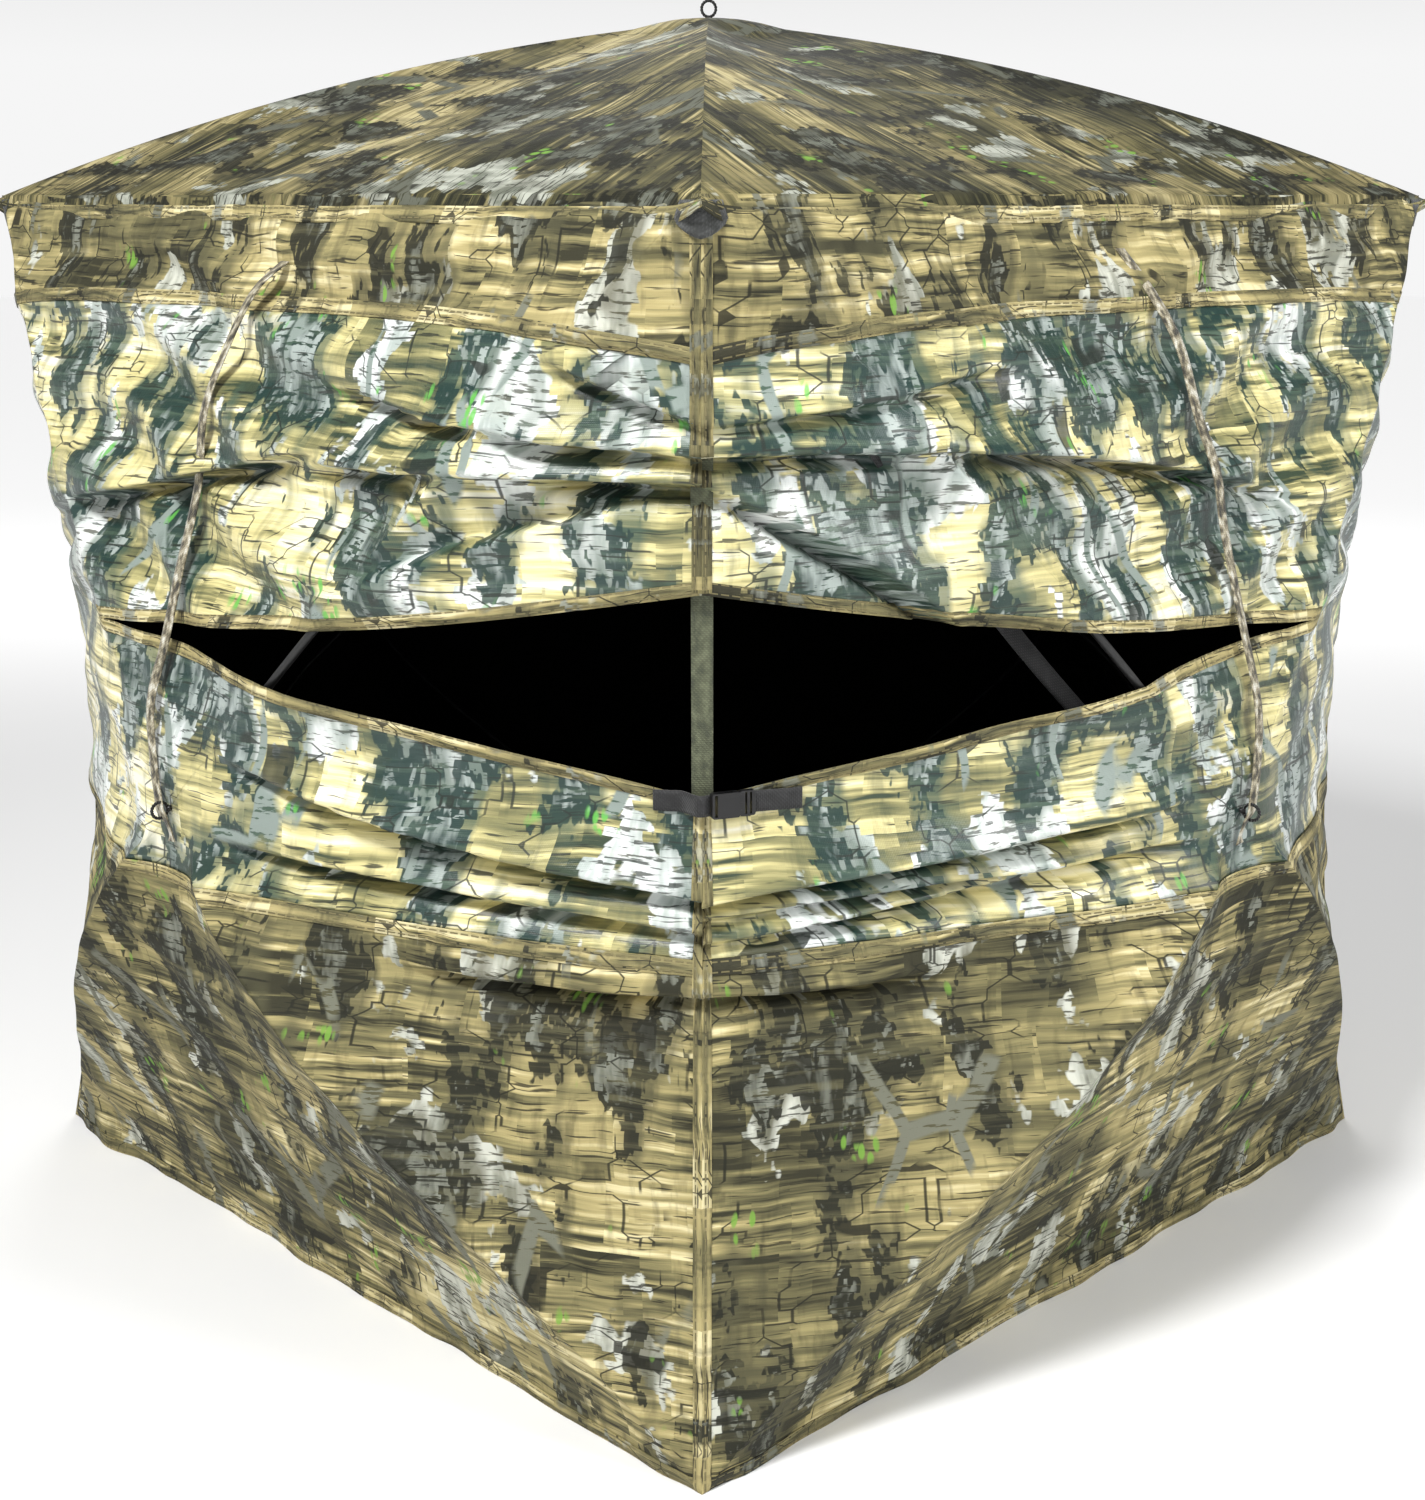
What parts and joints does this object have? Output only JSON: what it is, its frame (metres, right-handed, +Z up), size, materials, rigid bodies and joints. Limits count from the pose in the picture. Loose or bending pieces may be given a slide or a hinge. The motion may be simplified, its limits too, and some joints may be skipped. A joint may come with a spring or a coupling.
{
  "type": "pop up ground blind",
  "caption": "Square pop up hide of printed cloth on five push hubs with bowed rods, with a long shooting window round one corner, pull loops and a zipped door.",
  "frame": {"origin": "on the ground, under the middle of the roof", "axes": "+Z up; the front wall faces -Y and the right wall faces +X, and the window wraps the corner between them"},
  "size_m": [2.0184, 2.0184, 1.8012],
  "materials": {
    "wall_cloth": "matte printed polyester",
    "window_cloth": "satin printed polyester",
    "camo_web": "printed webbing",
    "olive_web": "woven webbing",
    "black_web": "woven webbing",
    "grey_web": "matte",
    "fibreglass": "satin",
    "nylon": "matte",
    "pin_steel": "satin",
    "coated_wire": "satin black",
    "buckle_acetal": "satin",
    "zip_metal": "satin",
    "zip_tape": "woven"
  },
  "bodies": {
    "tent": {"front_upper_band": "wall_cloth", "front_upper_panel": "window_cloth", "front_lower_panel": "window_cloth", "front_lower_wall": "wall_cloth", "right_upper_band": "wall_cloth", "right_upper_panel": "window_cloth", "right_lower_panel": "window_cloth", "right_lower_wall": "wall_cloth", "left_wall": "wall_cloth", "back_wall": "wall_cloth", "door_panel": "wall_cloth", "door_zip": "zip_tape", "roof_canopy": "wall_cloth", "corner_patches": "grey_web", "corner_feet": "nylon", "window_strap_front": "camo_web", "window_strap_right": "camo_web", "corner_strap": "olive_web", "guide_strap": "black_web", "buckle_socket": "buckle_acetal", "socket_web": "black_web"},
    "front_hub": {"hub_front": "nylon", "hub_pins_front": "pin_steel", "pull_loop_front": "coated_wire"},
    "rod_front_top_left": {"rod_front_top_left": "fibreglass"},
    "rod_front_top_right": {"rod_front_top_right": "fibreglass"},
    "rod_front_bottom_left": {"rod_front_bottom_left": "fibreglass"},
    "rod_front_bottom_right": {"rod_front_bottom_right": "fibreglass"},
    "right_hub": {"hub_right": "nylon", "hub_pins_right": "pin_steel", "pull_loop_right": "coated_wire"},
    "rod_right_top_left": {"rod_right_top_left": "fibreglass"},
    "rod_right_top_right": {"rod_right_top_right": "fibreglass"},
    "rod_right_bottom_left": {"rod_right_bottom_left": "fibreglass"},
    "rod_right_bottom_right": {"rod_right_bottom_right": "fibreglass"},
    "back_hub": {"hub_back": "nylon", "hub_pins_back": "pin_steel", "pull_loop_back": "coated_wire"},
    "rod_back_top_left": {"rod_back_top_left": "fibreglass"},
    "rod_back_top_right": {"rod_back_top_right": "fibreglass"},
    "rod_back_bottom_left": {"rod_back_bottom_left": "fibreglass"},
    "rod_back_bottom_right": {"rod_back_bottom_right": "fibreglass"},
    "left_hub": {"hub_left": "nylon", "hub_pins_left": "pin_steel", "pull_loop_left": "coated_wire"},
    "rod_left_top_left": {"rod_left_top_left": "fibreglass"},
    "rod_left_top_right": {"rod_left_top_right": "fibreglass"},
    "rod_left_bottom_left": {"rod_left_bottom_left": "fibreglass"},
    "rod_left_bottom_right": {"rod_left_bottom_right": "fibreglass"},
    "roof_hub": {"hub_roof": "nylon", "hub_pins_roof": "pin_steel", "pull_loop_roof": "coated_wire"},
    "rod_roof_front_right": {"rod_roof_front_right": "fibreglass"},
    "rod_roof_back_right": {"rod_roof_back_right": "fibreglass"},
    "rod_roof_back_left": {"rod_roof_back_left": "fibreglass"},
    "rod_roof_front_left": {"rod_roof_front_left": "fibreglass"},
    "zip_slider": {"zip_slider": "zip_metal"},
    "buckle_latch": {"buckle_latch": "buckle_acetal", "latch_web": "black_web"}
  },
  "joints": [
    {"name": "front_hub_push", "type": "slide", "parent": "tent", "child": "front_hub", "axis": [0, 1, 0], "range_m": [0, 0.376]},
    {"name": "rod_front_top_left_hinge", "type": "hinge", "parent": "front_hub", "child": "rod_front_top_left", "pos_m": [-0.01536, -0.954, 0.76275], "axis": [0.7162, 0, 0.6979], "range_deg": [0, 21.75]},
    {"name": "rod_front_top_right_hinge", "type": "hinge", "parent": "front_hub", "child": "rod_front_top_right", "pos_m": [0.01536, -0.954, 0.76275], "axis": [0.7162, 0, -0.6979], "range_deg": [0, 21.75]},
    {"name": "rod_front_bottom_left_hinge", "type": "hinge", "parent": "front_hub", "child": "rod_front_bottom_left", "pos_m": [-0.0156, -0.954, 0.73149], "axis": [-0.705, 0, 0.7092], "range_deg": [0, 22.1]},
    {"name": "rod_front_bottom_right_hinge", "type": "hinge", "parent": "front_hub", "child": "rod_front_bottom_right", "pos_m": [0.0156, -0.954, 0.73149], "axis": [-0.705, 0, -0.7092], "range_deg": [0, 22.1]},
    {"name": "right_hub_push", "type": "slide", "parent": "tent", "child": "right_hub", "axis": [-1, 0, 0], "range_m": [0, 0.376]},
    {"name": "rod_right_top_left_hinge", "type": "hinge", "parent": "right_hub", "child": "rod_right_top_left", "pos_m": [0.954, -0.01536, 0.76275], "axis": [0, 0.7162, 0.6979], "range_deg": [0, 21.75]},
    {"name": "rod_right_top_right_hinge", "type": "hinge", "parent": "right_hub", "child": "rod_right_top_right", "pos_m": [0.954, 0.01536, 0.76275], "axis": [0, 0.7162, -0.6979], "range_deg": [0, 21.75]},
    {"name": "rod_right_bottom_left_hinge", "type": "hinge", "parent": "right_hub", "child": "rod_right_bottom_left", "pos_m": [0.954, -0.0156, 0.73149], "axis": [0, -0.705, 0.7092], "range_deg": [0, 22.1]},
    {"name": "rod_right_bottom_right_hinge", "type": "hinge", "parent": "right_hub", "child": "rod_right_bottom_right", "pos_m": [0.954, 0.0156, 0.73149], "axis": [0, -0.705, -0.7092], "range_deg": [0, 22.1]},
    {"name": "back_hub_push", "type": "slide", "parent": "tent", "child": "back_hub", "axis": [0, -1, 0], "range_m": [0, 0.376]},
    {"name": "rod_back_top_left_hinge", "type": "hinge", "parent": "back_hub", "child": "rod_back_top_left", "pos_m": [0.01536, 0.954, 0.76275], "axis": [-0.7162, 0, 0.6979], "range_deg": [0, 21.75]},
    {"name": "rod_back_top_right_hinge", "type": "hinge", "parent": "back_hub", "child": "rod_back_top_right", "pos_m": [-0.01536, 0.954, 0.76275], "axis": [-0.7162, 0, -0.6979], "range_deg": [0, 21.75]},
    {"name": "rod_back_bottom_left_hinge", "type": "hinge", "parent": "back_hub", "child": "rod_back_bottom_left", "pos_m": [0.0156, 0.954, 0.73149], "axis": [0.705, 0, 0.7092], "range_deg": [0, 22.1]},
    {"name": "rod_back_bottom_right_hinge", "type": "hinge", "parent": "back_hub", "child": "rod_back_bottom_right", "pos_m": [-0.0156, 0.954, 0.73149], "axis": [0.705, 0, -0.7092], "range_deg": [0, 22.1]},
    {"name": "left_hub_push", "type": "slide", "parent": "tent", "child": "left_hub", "axis": [1, 0, 0], "range_m": [0, 0.376]},
    {"name": "rod_left_top_left_hinge", "type": "hinge", "parent": "left_hub", "child": "rod_left_top_left", "pos_m": [-0.954, 0.01536, 0.76275], "axis": [0, -0.7162, 0.6979], "range_deg": [0, 21.75]},
    {"name": "rod_left_top_right_hinge", "type": "hinge", "parent": "left_hub", "child": "rod_left_top_right", "pos_m": [-0.954, -0.01536, 0.76275], "axis": [0, -0.7162, -0.6979], "range_deg": [0, 21.75]},
    {"name": "rod_left_bottom_left_hinge", "type": "hinge", "parent": "left_hub", "child": "rod_left_bottom_left", "pos_m": [-0.954, 0.0156, 0.73149], "axis": [0, 0.705, 0.7092], "range_deg": [0, 22.1]},
    {"name": "rod_left_bottom_right_hinge", "type": "hinge", "parent": "left_hub", "child": "rod_left_bottom_right", "pos_m": [-0.954, -0.0156, 0.73149], "axis": [0, 0.705, -0.7092], "range_deg": [0, 22.1]},
    {"name": "roof_hub_push", "type": "slide", "parent": "tent", "child": "roof_hub", "axis": [0, 0, -1], "range_m": [0, 0.4519]},
    {"name": "rod_roof_front_right_hinge", "type": "hinge", "parent": "roof_hub", "child": "rod_roof_front_right", "pos_m": [0.01556, -0.01556, 1.746], "axis": [-0.7071, -0.7071, 0], "range_deg": [0, 25.98]},
    {"name": "rod_roof_back_right_hinge", "type": "hinge", "parent": "roof_hub", "child": "rod_roof_back_right", "pos_m": [0.01556, 0.01556, 1.746], "axis": [0.7071, -0.7071, 0], "range_deg": [0, 25.98]},
    {"name": "rod_roof_back_left_hinge", "type": "hinge", "parent": "roof_hub", "child": "rod_roof_back_left", "pos_m": [-0.01556, 0.01556, 1.746], "axis": [0.7071, 0.7071, 0], "range_deg": [0, 25.98]},
    {"name": "rod_roof_front_left_hinge", "type": "hinge", "parent": "roof_hub", "child": "rod_roof_front_left", "pos_m": [-0.01556, -0.01556, 1.746], "axis": [-0.7071, 0.7071, 0], "range_deg": [0, 25.98]},
    {"name": "zip_slide", "type": "slide", "parent": "tent", "child": "zip_slider", "axis": [-1, 0, 0], "range_m": [0, 0.9]},
    {"name": "buckle_release", "type": "slide", "parent": "tent", "child": "buckle_latch", "axis": [0.409, 0.9126, 0], "range_m": [0, 0.024]}
  ],
  "couplings": [
    {"joint": "rod_front_top_left_hinge", "follows": "front_hub_push", "rad_per_m": 1.0089},
    {"joint": "rod_front_top_right_hinge", "follows": "front_hub_push", "rad_per_m": 1.0089},
    {"joint": "rod_front_bottom_left_hinge", "follows": "front_hub_push", "rad_per_m": 1.0251},
    {"joint": "rod_front_bottom_right_hinge", "follows": "front_hub_push", "rad_per_m": 1.0251},
    {"joint": "rod_right_top_left_hinge", "follows": "right_hub_push", "rad_per_m": 1.0089},
    {"joint": "rod_right_top_right_hinge", "follows": "right_hub_push", "rad_per_m": 1.0089},
    {"joint": "rod_right_bottom_left_hinge", "follows": "right_hub_push", "rad_per_m": 1.0251},
    {"joint": "rod_right_bottom_right_hinge", "follows": "right_hub_push", "rad_per_m": 1.0251},
    {"joint": "rod_back_top_left_hinge", "follows": "back_hub_push", "rad_per_m": 1.0089},
    {"joint": "rod_back_top_right_hinge", "follows": "back_hub_push", "rad_per_m": 1.0089},
    {"joint": "rod_back_bottom_left_hinge", "follows": "back_hub_push", "rad_per_m": 1.0251},
    {"joint": "rod_back_bottom_right_hinge", "follows": "back_hub_push", "rad_per_m": 1.0251},
    {"joint": "rod_left_top_left_hinge", "follows": "left_hub_push", "rad_per_m": 1.0089},
    {"joint": "rod_left_top_right_hinge", "follows": "left_hub_push", "rad_per_m": 1.0089},
    {"joint": "rod_left_bottom_left_hinge", "follows": "left_hub_push", "rad_per_m": 1.0251},
    {"joint": "rod_left_bottom_right_hinge", "follows": "left_hub_push", "rad_per_m": 1.0251},
    {"joint": "rod_roof_front_right_hinge", "follows": "roof_hub_push", "rad_per_m": 1.0027},
    {"joint": "rod_roof_back_right_hinge", "follows": "roof_hub_push", "rad_per_m": 1.0027},
    {"joint": "rod_roof_back_left_hinge", "follows": "roof_hub_push", "rad_per_m": 1.0027},
    {"joint": "rod_roof_front_left_hinge", "follows": "roof_hub_push", "rad_per_m": 1.0027}
  ]
}
